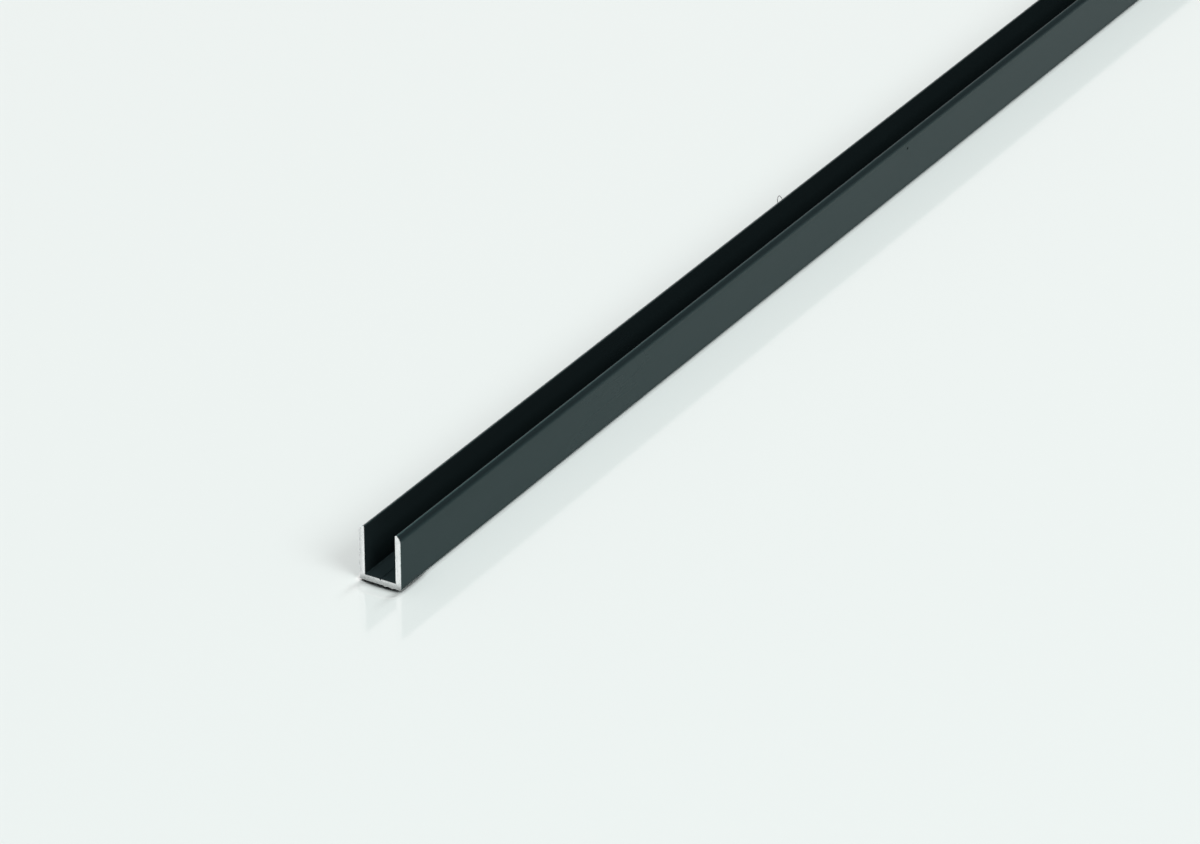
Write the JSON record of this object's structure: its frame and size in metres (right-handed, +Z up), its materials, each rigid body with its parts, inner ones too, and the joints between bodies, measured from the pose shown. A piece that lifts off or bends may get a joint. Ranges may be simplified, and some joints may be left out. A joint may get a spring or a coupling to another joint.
{
  "type": "aluminium U-channel extrusion",
  "caption": "Length of black anodised aluminium U-channel with rounded leg edges, a drilling line along the floor and bare sawn ends.",
  "frame": {"origin": "centre of the underside of the web, halfway along the bar", "axes": "+X along the bar, +Y across the slot, +Z up from the web to the open side of the slot"},
  "size_m": [1, 0.008, 0.01],
  "materials": {
    "black_anodised_aluminium": "satin black anodised, bare metal on the two sawn ends"
  },
  "bodies": {
    "root": {"channel": "black_anodised_aluminium"}
  },
  "joints": []
}
